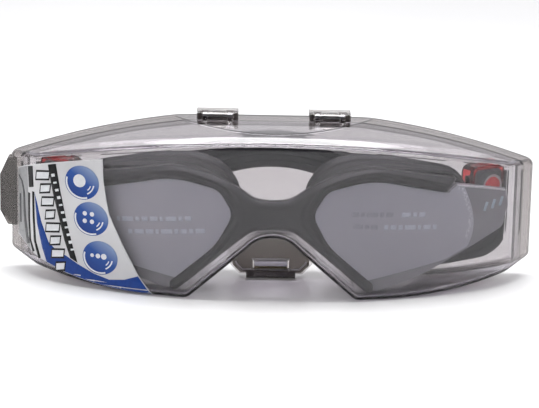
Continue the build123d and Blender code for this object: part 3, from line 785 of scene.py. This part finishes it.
def band_section(width, thickness, ribs):
    """Section of a flat moulded band, (across, depth), with rounded edges and ribs on both faces."""
    half = width / 2 - 0.5
    front = []
    for w in np.linspace(-half, half, 12 * ribs + 1):
        dent = 0.22 * max(0.0, math.cos(math.pi * 2 * ribs * (w + half) / (2 * half))) ** 6
        front.append((w, dent))
    edge = [(half + 0.35, 0.25), (width / 2, thickness / 2), (half + 0.35, thickness - 0.25)]
    back = [(w, thickness - dent) for w, dent in reversed(front)]
    other = [(-w, thickness - d) for w, d in edge]
    return front + edge + back + other


def head_strap():
    """The folded strap: an arched middle and two legs; strap_end makes the ends that run into the
    buckles.
    """
    section = band_section(STRAP_WIDTH, STRAP_THICKNESS, 5)
    half = strap_path()
    both = [(Vector((-p.x, p.y)), -a) for p, a in reversed(half[1:])] + half
    flat = []
    for place, heading in both:
        across = Vector((-math.sin(heading), math.cos(heading)))
        for w, depth in section:
            x, z = place + across * w
            flat.append((x, STRAP_Y + depth, z))
    size = len(section)
    faces = loops_to_faces(len(both), size)
    faces.append(tuple(range(size)))
    faces.append(tuple(range(len(flat) - size, len(flat))))
    made = piece("strap_band", "front_cover", STRAP_SILICONE, flat, faces)
    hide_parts("head_strap")


def buckle_point(u, depth, z, sign):
    """A place behind the arm: u along it, depth in from it."""
    a = math.radians(BUCKLE_ANGLE)
    radius = BUCKLE_RADIUS - depth
    x = math.sin(a) * radius + math.cos(a) * u
    y = LENS_AXIS_Y - math.cos(a) * radius + math.sin(a) * u
    return sign * x, y, z


def strap_end(name, sign):
    """One end of the strap: a straight band that comes out of the buckle, behind the arm."""
    width = STRAP_END_Z[1] - STRAP_END_Z[0]
    middle = (STRAP_END_Z[1] + STRAP_END_Z[0]) / 2
    section = band_section(width, STRAP_THICKNESS, 5)
    flat = []
    stations = np.linspace(STRAP_END[0], STRAP_END[1], 26)
    for u in stations:
        for w, depth in section:
            flat.append(buckle_point(u, STRAP_DEPTH + depth, middle + w, sign))
    size = len(section)
    faces = loops_to_faces(len(stations), size)
    faces.append(tuple(range(size)))
    faces.append(tuple(range(len(flat) - size, len(flat))))
    made = piece(name, "front_cover", STRAP_SILICONE, flat, faces)


goggle_frame()
gasket("seal_right", 1)
gasket("seal_left", -1)
head_strap()
strap_end("strap_end_right", 1)
strap_end("strap_end_left", -1)


# ------------------------------------------------------------------ label

CORNER_Y = FRONT_RADIUS - math.sqrt(FRONT_RADIUS ** 2 - CORNER_X ** 2)


def wrap(s, z, proud):
    """A place on the case's outside: s round it from the middle of the front, negative to the
    left, z up, proud of it by a distance. The rounded bottom rim draws it in."""
    bend = Vector((CORNER_X, CORNER_Y))
    back = (Vector(BACK_CORNER) - bend).normalized()
    inward = Vector((-back.y, back.x))
    start = bend + inward * CORNER_RADIUS - Vector((0, FRONT_RADIUS))
    b = start.dot(back)
    c = start.length_squared - (FRONT_RADIUS - CORNER_RADIUS) ** 2
    t = -b - math.sqrt(b * b - c)
    centre = start + back * t + Vector((0, FRONT_RADIUS))
    first = math.atan2(centre.x, FRONT_RADIUS - centre.y)
    last = math.atan2(back.y, back.x)
    run = abs(s)
    arc = FRONT_RADIUS * first
    bent = CORNER_RADIUS * (last - first)
    if run <= arc:
        a = run / FRONT_RADIUS
        x, y = FRONT_RADIUS * math.sin(a), FRONT_RADIUS * (1 - math.cos(a))
    elif run <= arc + bent:
        a = first + (run - arc) / CORNER_RADIUS
        x, y = centre.x + CORNER_RADIUS * math.sin(a), centre.y - CORNER_RADIUS * math.cos(a)
    else:
        a = last
        spot = centre + Vector((math.sin(a), -math.cos(a))) * CORNER_RADIUS + back * (run - arc - bent)
        x, y = spot
    foot = FOOT_Z + BOTTOM_RADIUS - math.sqrt(BOTTOM_RADIUS ** 2 - max(0.0, x - LOBE_X) ** 2)
    height = z - foot
    drawn_in = 0.0
    if height < RIM:
        drawn_in = RIM - math.sqrt(max(0.0, RIM ** 2 - (RIM - max(height, 0.0)) ** 2))
    out = proud - drawn_in
    x += math.sin(a) * out
    y -= math.cos(a) * out
    return math.copysign(x, s), y, z


def flat_shape(outline, spacing):
    """Triangles that fill a flat outline, with points inside it no further apart than spacing."""
    ring = [Vector(p) for p in outline]
    dense = []
    for i, p in enumerate(ring):
        q = ring[(i + 1) % len(ring)]
        count = max(1, math.ceil((q - p).length / spacing))
        dense += [p + (q - p) * k / count for k in range(count)]
    low = (min(p.x for p in dense), min(p.y for p in dense))
    high = (max(p.x for p in dense), max(p.y for p in dense))
    inside = []
    columns = int((high[0] - low[0]) / spacing)
    rows = int((high[1] - low[1]) / spacing)
    for i in range(columns + 1):
        for j in range(rows + 1):
            inside.append(Vector((low[0] + (i + 0.5) * spacing, low[1] + (j + 0.5) * spacing)))
    edges = [(k, (k + 1) % len(dense)) for k in range(len(dense))]
    verts, _, faces, *_ = delaunay_2d_cdt(dense + inside, edges, [], 1, 1e-4)
    return verts, [tuple(f) for f in faces if len(f) == 3]


def printed(
    name, outlines, material, proud, spacing=1.2, thick=0.03, place=wrap,
    body="front_cover",
):
    """Thin printed or stuck-on shapes that follow a surface."""
    points, faces = [], []
    for outline in outlines:
        verts, fill = flat_shape(outline, spacing)
        start, count = len(points), len(verts)
        points += [place(v.x, v.y, proud) for v in verts]
        points += [place(v.x, v.y, proud - thick) for v in verts]
        edges = {(a, b) for f in fill for a, b in zip(f, f[1:] + f[:1])}
        walls = [(a, b, b + count, a + count) for a, b in sorted(edges) if (b, a) not in edges]
        under = [tuple(k + count for k in reversed(f)) for f in fill]
        faces += [tuple(k + start for k in f) for f in fill + under + walls]
    made = piece(name, body, material, points, faces)
    return made


def ellipse(x, z, across, up, tilt=0.0, count=40):
    """Outline of an ellipse with those half sizes, turned by tilt degrees."""
    c, s = math.cos(math.radians(tilt)), math.sin(math.radians(tilt))
    outline = []
    for k in range(count):
        a, b = across * math.cos(2 * math.pi * k / count), up * math.sin(2 * math.pi * k / count)
        outline.append((x + a * c - b * s, z + a * s + b * c))
    return outline


def ribbon(points, width, end_width=None):
    """Outline of a line drawn with a width, which may change along it."""
    end_width = width if end_width is None else end_width
    line = [Vector(p) for p in points]
    left, right_side = [], []
    for i, p in enumerate(line):
        run = (line[min(i + 1, len(line) - 1)] - line[max(i - 1, 0)]).normalized()
        half = (width + (end_width - width) * i / (len(line) - 1)) / 2
        across = Vector((-run.y, run.x)) * half
        left.append(tuple(p + across))
        right_side.append(tuple(p - across))
    return left + right_side[::-1]


def arc_band(x, z, radius, width, first, last, squash=0.88, count=24):
    """Outline of part of a ring, between two angles in degrees."""
    angles = [math.radians(first + (last - first) * k / count) for k in range(count + 1)]
    outer = [(x + radius * math.cos(a), z + radius * squash * math.sin(a)) for a in angles]
    near = radius - width
    inner = [(x + near * math.cos(a), z + near * squash * math.sin(a)) for a in angles]
    return outer + inner[::-1]


LABEL_PROUD = 0.2
INK = LABEL_PROUD + 0.03
INK2 = INK + 0.025
INK3 = INK2 + 0.025
DISCS = ((-72.2, 38.1), (-68.4, 25.0), (-64.6, 10.8))
DISC_SIZE = (7.2, 6.3)


def disc_blue(number, s, z):
    """Blue ink that pales towards one side of a disc, like a lit ball."""
    paint = Paint(f"disc_blue_{number}", (0.02, 0.09, 0.4), 0.34, Specular_IOR_Level=0.3)
    centre = at(*wrap(s, z, 0))
    lean = paint.node("ShaderNodeVectorMath", operation="DOT_PRODUCT")
    lean.inputs[1].default_value = (60, 0, 90)
    paint.link(paint.place, lean.inputs[0])
    middle = 60 * centre.x + 90 * centre.z
    fade = paint.node("ShaderNodeMapRange")
    fade.inputs["From Min"].default_value = middle - 0.75
    fade.inputs["From Max"].default_value = middle + 0.75
    paint.link(lean.outputs["Value"], fade.inputs["Value"])
    lay = paint.noise(700, 4)
    paint.colour(paint.ramp(
        fade.outputs["Result"],
        (0.12, (0.008, 0.045, 0.24)), (0.55, (0.02, 0.08, 0.33)), (0.95, (0.24, 0.32, 0.5)),
    ))
    paint.spread(lay, 0.3, 0.44, "Roughness", 0.3, 0.7)
    paint.bump((lay, 0.000004))
    return paint.material


def label_sheet():
    """The paper label, wrapped round the case's left end."""
    outline = [
        (-63.6, 47.8), (-63.3, 40.0), (-62.1, 32.6), (-60.9, 27.5), (-58.1, 21.8), (-54.4, 14.7),
        (-49.3, 5.9), (-43.9, -0.9), (-52.0, -0.8), (-60.0, -0.2), (-70.0, 1.2), (-80.0, 3.3),
        (-90.0, 6.4), (-96.0, 8.8), (-101.0, 11.2), (-105.4, 13.2), (-105.4, 38.8), (-100.0, 40.4),
        (-95.0, 41.8), (-84.0, 44.2), (-72.0, 46.5),
    ]
    sheet = printed("label_sheet", [outline], LABEL_PAPER, LABEL_PROUD, spacing=1.1, thick=0.15)
    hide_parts("label")


def label_bands():
    """Its blue sweep, black stripe and bars, and the silver print round the end of the case."""
    printed("label_blue", [[
        (-93.6, 31.4), (-92.4, 28.0), (-90.4, 21.0), (-87.0, 13.6), (-83.0, 10.6), (-78.8, 9.5),
        (-74.0, 7.2), (-67.1, 4.5), (-60.8, 3.0), (-54.8, 3.7), (-49.4, 5.6), (-44.4, -0.75),
        (-52.0, -0.65), (-60.0, -0.05), (-70.0, 1.35), (-80.0, 3.45), (-87.9, 5.9), (-90.0, 11.0),
        (-92.4, 20.0),
    ]], BLUE_INK, INK)
    printed("label_stripe", [[
        (-87.2, 42.9), (-83.5, 43.7), (-81.5, 33.8), (-78.8, 22.8), (-76.1, 13.7), (-74.0, 7.6),
        (-77.2, 9.0), (-79.7, 15.1), (-82.4, 24.2), (-85.1, 33.3),
    ]], BLACK_INK, INK2)
    printed("label_bars", [
        [(-98.1, 40.5), (-94.6, 41.3), (-94.1, 33.4), (-97.4, 32.6)],
        ribbon([(-94.4, 31.6), (-94.2, 22.0), (-93.5, 13.0), (-91.2, 6.7)], 1.3, 1.2),
        ribbon([(-97.2, 30.6), (-97.4, 21.0), (-96.7, 13.0), (-94.3, 8.7)], 1.5, 1.3),
    ], BLACK_INK, INK, spacing=0.9)
    printed("label_side", [[
        (-105.2, 13.5), (-105.2, 38.5), (-100.0, 40.1), (-98.5, 40.5), (-98.0, 32.0), (-98.4, 21.0),
        (-97.9, 13.4), (-96.2, 9.3), (-101.0, 11.4),
    ]], SILVER_INK, INK)
    printed("label_side_sweep", [
        ribbon([
            (-105.0, 36.0), (-102.4, 33.8), (-101.0, 30.0), (-100.6, 22.0), (-99.4, 15.5), (-97.9, 11.0),
        ], 0.7, 2.2),
        ribbon([(-103.8, 29.0), (-103.6, 18.0)], 1.2, 1.0),
    ], SILVER_DARK, INK2, spacing=0.9)


def label_blocks():
    """A slanting row of plain white blocks with black edges, where a label has its large print."""
    blocks, edges = [], []
    for k in range(8):
        f = k / 7
        s, z = -89.6 + 8.0 * f, 38.6 - 33.4 * f
        reach = (3.0, 2.2, 2.7, 2.0)[k % 4]
        edges.append([
            (s - reach - 0.6, z - 2.5), (s + reach + 0.1, z - 1.6),
            (s + reach + 0.6, z + 2.3), (s - reach - 0.1, z + 1.5),
        ])
        blocks.append([
            (s - reach, z - 1.75), (s + reach - 0.3, z - 0.9),
            (s + reach, z + 1.55), (s - reach + 0.2, z + 0.8),
        ])
    printed("label_block_edges", edges, BLACK_INK, INK2, spacing=0.9)
    printed("label_blocks", blocks, WHITE_INK, INK3, spacing=0.9)


def stripe_ticks():
    """Short white dashes down the black stripe."""
    ticks = []
    for k in range(11):
        f = (k + 0.5) / 11
        s, z = -85.2 + 9.4 * f, 40.6 - 29.6 * f
        ticks.append(ribbon([(s - 0.75, z - 0.2), (s + 0.75, z + 0.2)], (1.1, 0.7, 0.9)[k % 3]))
    return ticks


def disc_dots():
    """Plain dots in the discs: one, four and three."""
    (s0, z0), (s1, z1), (s2, z2) = DISCS
    dots = [ellipse(s0 - 1.0, z0 + 0.6, 2.6, 2.4)]
    for k in range(4):
        s, z = s1 - 1.0 + 1.5 * (-1) ** k, z1 + 0.4 + 1.4 * (-1) ** (k // 2)
        dots.append(ellipse(s, z, 0.9, 0.85, 0, 20))
    for k in range(3):
        dots.append(ellipse(s2 - 3.2 + 2.4 * k, z2 + 0.6, 0.75 + 0.2 * k, 0.7 + 0.2 * k, 0, 20))
    return dots


def label_discs():
    """Three blue discs, with the white marks on them and on the stripe."""
    white = stripe_ticks() + disc_dots()
    for number, (s, z) in enumerate(DISCS):
        blue = disc_blue(number, s, z)
        printed(f"label_disc_{number}", [ellipse(s, z, *DISC_SIZE, 0, 56)], blue, INK2, spacing=1.0)
        white.append(arc_band(s, z, 6.9, 0.7, 165, 290, 0.875))
        white.append(arc_band(s, z, 5.3, 0.55, -62, -8))
        white.append(arc_band(s, z, 4.0, 0.45, -50, -16))
    printed("label_marks", white, WHITE_INK, INK3 + 0.02, spacing=0.8)


label_sheet()
label_bands()
label_blocks()
label_discs()


# ------------------------------------------------------------------ lens prints

def on_lens(sign, radius):
    """Placer for shapes on a bowed sheet of that radius."""
    def place(x, z, proud):
        return sign * x, bow_y(x, radius + proud), z
    return place


def dashes(first, last, lengths, height):
    """A slanting row of short plain bars between two (x, z) points."""
    a, b = Vector(first), Vector(last)
    run = (b - a).normalized()
    place, row = 0.0, []
    k = 0
    while place + lengths[k % len(lengths)] <= (b - a).length:
        size = lengths[k % len(lengths)]
        row.append(ribbon([tuple(a + run * place), tuple(a + run * (place + size))], height))
        place += size + 0.8
        k += 1
    return row


FILM_FACE = 146.35
PATTERN = (3.4, 1.5, 2.3, 1.5, 4.1, 1.2, 2.8)
PRINT_HEIGHT = 1.7
FILM_EDGE = [(68.6, 38.0), (71.6, 34.0), (73.2, 29.0), (73.9, 23.5), (72.6, 18.0)]
ARM_TOP = [(67.3, 38.3), (72.0, 37.5), (78.0, 36.2), (83.0, 35.1), (86.6, 34.1)]


def film_prints():
    """Two rows of plain dashes on each film, part of the right film's fainter than the rest."""
    rows = {
        "right": dashes((46.8, 29.1), (57.5, 28.5), PATTERN, PRINT_HEIGHT)
        + dashes((40.4, 24.8), (62.4, 23.4), PATTERN[1:], PRINT_HEIGHT),
        "left": dashes((29.4, 27.6), (57.4, 24.9), PATTERN[2:], PRINT_HEIGHT)
        + dashes((24.4, 23.3), (53.4, 20.6), PATTERN, PRINT_HEIGHT),
    }
    faint = dashes((28.6, 30.1), (45.9, 29.2), PATTERN[2:], PRINT_HEIGHT)
    faint += dashes((29.2, 25.6), (39.6, 24.9), PATTERN, PRINT_HEIGHT)
    for sign, side in SIDES:
        place = on_lens(sign, FILM_FACE)
        printed(f"film_print_{side}", rows[side], PRINT_INK, 0.02, 1.0, 0.02, place)
    printed("film_print_faint", faint, FAINT_INK, 0.02, 1.0, 0.02, on_lens(1, FILM_FACE))


def film_bubbles(rng):
    """Small trapped bubbles along the film's outer edge."""
    bubbles = []
    for x, z in resampled(FILM_EDGE, 60):
        size = rng.uniform(0.15, 0.5)
        bubble_x = x - rng.uniform(0.2, 1.6)
        bubble_z = z + rng.uniform(-0.4, 0.4)
        bubbles.append(ellipse(bubble_x, bubble_z, size, size * rng.uniform(0.7, 1.4), 0, 10))
    return bubbles


def lens_details():
    """Each lens's film bubbles, three plain bars on its arm and a pale strip along the arm's top edge, a
    painted highlight.
    """
    rng = random.Random(7)
    for sign, side in SIDES:
        on_film, on_arm = on_lens(sign, FILM_FACE), on_lens(sign, LENS_RADIUS)
        printed(f"film_bubbles_{side}", film_bubbles(rng), BUBBLE, 0.03, 0.6, 0.03, on_film)
        bars = [
            ribbon([(78.4 + 3.0 * k, 27.2 + 0.6 * k), (79.4 + 3.0 * k, 30.6 + 0.6 * k)], 1.1)
            for k in range(3)
        ]
        printed(f"arm_mark_{side}", bars, PALE_INK, 0.03, 1.0, 0.02, on_arm)
        # A raised pale strip along the arm's top edge: a painted highlight
        highlight_strip = [ribbon(ARM_TOP, 0.75, 0.6)]
        printed(f"arm_highlight_{side}", highlight_strip, ARM_HIGHLIGHT, 0.3, 0.8, 0.3, on_arm)


film_prints()
lens_details()


# ------------------------------------------------------------------ hinge lugs and catch

def block(name, body, material, boxes, soften=0.3):
    """Boxes with softened edges, each given as (low, high) corners in design millimetres."""
    mesh = bpy.data.meshes.new(name)
    build = bmesh.new()
    for low, high in boxes:
        low, high = at(*low), at(*high)
        verts = [
            build.verts.new((x, y, z))
            for z in (low.z, high.z) for y in (low.y, high.y) for x in (low.x, high.x)
        ]
        for face in ((0, 2, 3, 1), (4, 5, 7, 6), (0, 1, 5, 4), (1, 3, 7, 5), (3, 2, 6, 7), (2, 0, 4, 6)):
            build.faces.new([verts[k] for k in face])
    bmesh.ops.bevel(
        build, geom=build.verts[:] + build.edges[:], offset=soften * MM, segments=3, profile=0.5,
        affect="EDGES",
    )
    bmesh.ops.recalc_face_normals(build, faces=build.faces)
    build.to_mesh(mesh)
    build.free()
    mesh.materials.append(material)
    mesh.polygons.foreach_set("use_smooth", [True] * len(mesh.polygons))
    made = bpy.data.objects.new(name, mesh)
    bpy.context.scene.collection.objects.link(made)
    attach(made, body)
    return made


def hinge_caps():
    """A moulded cap over each hinge lug of the back half, with three short legs."""
    for sign, side in SIDES:
        middle = sign * 20.8
        block(f"hinge_cap_{side}", "back_shell", CAP_SMOKE, [
            ((middle - 7.7, 38.9, 58.5), (middle + 7.7, 42.9, 61.55)),
            ((middle - 7.7, 37.0, 58.7), (middle - 5.8, 39.3, 61.5)),
            ((middle - 3.4, 37.0, 58.7), (middle + 3.4, 39.3, 61.5)),
            ((middle + 5.8, 37.0, 58.7), (middle + 7.7, 39.3, 61.5)),
        ], 0.9)


def on_flap(x, z, proud):
    """Placer for shapes on the front of the latch flap."""
    return x, 33.6 - proud, z


def latch_details():
    """A moulded line on the flap's lower edges and strips at the top and bottom of its window, in pale
    ink as painted highlights, and the catch behind the window, painted pale and warm for light in its
    clear plastic.
    """
    # Pale lines along the flap's lower edges: a moulded line with a painted highlight on it
    corners = [
        ribbon([(sign * 13.2, 5.0), (sign * 13.0, 4.2), (sign * 10.6, 1.75), (sign * 7.3, 1.75)], 0.5)
        for sign, _ in SIDES
    ]
    # Pale strips at the top and bottom of the window: painted light
    window = [
        [(-7.1, 5.6), (7.1, 5.6), (7.1, 6.05), (-7.1, 6.05)],
        [(-7.1, 1.3), (7.1, 1.3), (7.1, 1.8), (-7.1, 1.8)],
    ]
    printed(
        "latch_border_highlight", corners + window, LATCH_HIGHLIGHT, 0.04, 1.0, 0.04, on_flap,
        "latch_flap",
    )
    face = ((-6.2, 33.3, 3.1), (6.2, 35.8, 4.95))
    foot = ((-6.2, 33.2, 2.35), (6.2, 35.8, 3.05))
    # The catch's face is painted pale for the light in the clear catch, and its foot warm yellow for a
    # painted glint
    block("catch_face", "back_shell", CATCH_LIT, [face], 0.25)
    block("catch_foot", "back_shell", CATCH_GLINT, [foot], 0.15)


hinge_caps()
latch_details()


# ------------------------------------------------------------------ floor

def floor():
    """A pale, softly glossy flat floor."""
    paint = Paint("floor", (0.93, 0.93, 0.935), 0.22, Specular_IOR_Level=0.35)
    tone = paint.noise(3, 2)
    paint.colour(paint.ramp(tone, (0.3, (0.9, 0.9, 0.905)), (0.7, (0.95, 0.95, 0.955))))
    paint.spread(tone, 0.2, 0.26, "Roughness", 0.3, 0.7)
    build = bmesh.new()
    bmesh.ops.create_grid(build, x_segments=8, y_segments=8, size=3)
    mesh = bpy.data.meshes.new("floor")
    build.to_mesh(mesh)
    build.free()
    mesh.materials.append(paint.material)
    made = bpy.data.objects.new("floor", mesh)
    made.location = (0, 0, -0.0002)
    bpy.context.scene.collection.objects.link(made)


floor()
